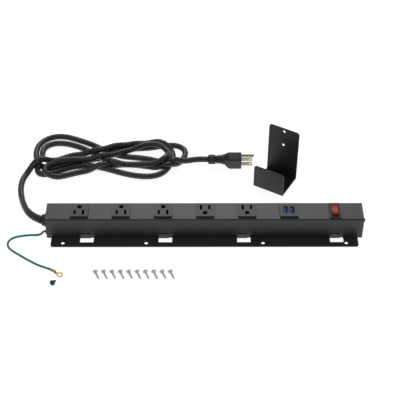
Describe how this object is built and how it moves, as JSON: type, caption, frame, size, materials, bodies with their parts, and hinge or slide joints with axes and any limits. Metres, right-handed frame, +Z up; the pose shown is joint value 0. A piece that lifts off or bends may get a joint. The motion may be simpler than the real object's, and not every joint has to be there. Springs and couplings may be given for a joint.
{
  "type": "power strip",
  "caption": "Surface-mount power strip: folded black steel body on flanges, grounded outlets, twin USB charger, lit rocker switch, corded plug, ground wire, bracket and screws.",
  "frame": {"origin": "centre of the steel body's footprint, on the mounting surface", "axes": "+X along the body towards the switch end, +Y towards the rear where the lead lies, +Z up out of the mounting surface"},
  "size_m": [0.5433, 0.343, 0.0938],
  "materials": {
    "black_steel": "satin black powder coat",
    "black_screw_steel": "black oxide",
    "black_plastic": "matte moulded",
    "dark_grey_plastic": "matte moulded",
    "brass": "stamped, plain",
    "nickel_plated_brass": "plated, light wear",
    "copper": "stamped copper alloy, plain",
    "zinc_steel": "zinc plated",
    "green_steel": "dark green coat",
    "red_translucent": "translucent red, glossy",
    "white_plastic": "natural nylon",
    "white_insulation": "extruded insulation",
    "black_insulation": "extruded insulation",
    "green_insulation": "extruded insulation",
    "blue_plastic": "moulded blue",
    "circuit_board": "solder mask",
    "winding_tape": "yellow tape",
    "capacitor_can": "printed sleeve without print",
    "lamp_glass": "clear, warm tint",
    "cord_jacket": "satin twisted jacket",
    "rubber_bush": "dark green-black rubber"
  },
  "bodies": {
    "strip": {"cover": "black_steel", "base_plate": "black_steel", "end_cap_left": "black_steel", "end_cap_right": "black_steel", "cap_screws": "black_screw_steel", "outlet_1": "black_plastic", "outlet_2": "black_plastic", "outlet_3": "black_plastic", "outlet_4": "black_plastic", "outlet_5": "black_plastic", "outlet_back_1": "dark_grey_plastic", "outlet_back_2": "dark_grey_plastic", "outlet_back_3": "dark_grey_plastic", "outlet_back_4": "dark_grey_plastic", "outlet_back_5": "dark_grey_plastic", "line_contacts": "brass", "neutral_contacts": "brass", "ground_contacts": "brass", "line_bus": "brass", "neutral_bus": "brass", "ground_bus": "brass", "bus_holders": "white_plastic", "usb_bezel": "black_plastic", "usb_back": "dark_grey_plastic", "usb_shells": "zinc_steel", "usb_tongues": "blue_plastic", "usb_board": "circuit_board", "usb_transformer": "winding_tape", "usb_capacitors": "capacitor_can", "usb_leads": "brass", "switch_housing": "black_plastic", "switch_terminals": "brass", "switch_leads": "black_insulation", "neon_lamp": "lamp_glass", "gland": "black_plastic", "gland_nut": "black_plastic", "cord_end": "cord_jacket", "line_lead": "black_insulation", "neutral_lead": "white_insulation", "ground_lead": "green_insulation", "cord_sleeve": "cord_jacket", "power_lead": "cord_jacket", "cord_hank": "cord_jacket", "plug_lead": "cord_jacket", "plug_body": "black_plastic", "plug_blades": "nickel_plated_brass", "plug_ground_pin": "nickel_plated_brass", "ground_grommet": "rubber_bush", "ground_stud": "zinc_steel", "ground_wire": "green_insulation", "ring_terminal": "brass"},
    "rocker": {"rocker": "red_translucent", "rocker_spring": "zinc_steel", "rocker_plunger": "white_plastic"},
    "contact_lever_body": {"contact_lever": "copper"},
    "wall_bracket_body": {"wall_bracket": "black_steel"},
    "mounting_screws_body": {"mounting_screws": "zinc_steel"},
    "ground_screw_body": {"ground_screw": "green_steel"}
  },
  "joints": [
    {"name": "rocker_tilt", "type": "hinge", "parent": "strip", "child": "rocker", "pos_m": [0.198, 0, 0.0376], "axis": [1, 0, 0], "range_deg": [0, 18]},
    {"name": "contact_tilt", "type": "hinge", "parent": "strip", "child": "contact_lever_body", "pos_m": [0.198, 0, 0.0241], "axis": [1, 0, 0], "range_deg": [-14.1, 0]},
    {"name": "bracket_lift", "type": "slide", "parent": "strip", "child": "wall_bracket_body", "axis": [0, 0, 1], "range_m": [0, 0.06]},
    {"name": "mounting_screws_lift", "type": "slide", "parent": "strip", "child": "mounting_screws_body", "axis": [0, 0, 1], "range_m": [0, 0.03]},
    {"name": "ground_screw_lift", "type": "slide", "parent": "strip", "child": "ground_screw_body", "axis": [0, 0, 1], "range_m": [0, 0.03]}
  ],
  "couplings": [
    {"joint": "contact_tilt", "follows": "rocker_tilt", "ratio": -0.7778}
  ]
}
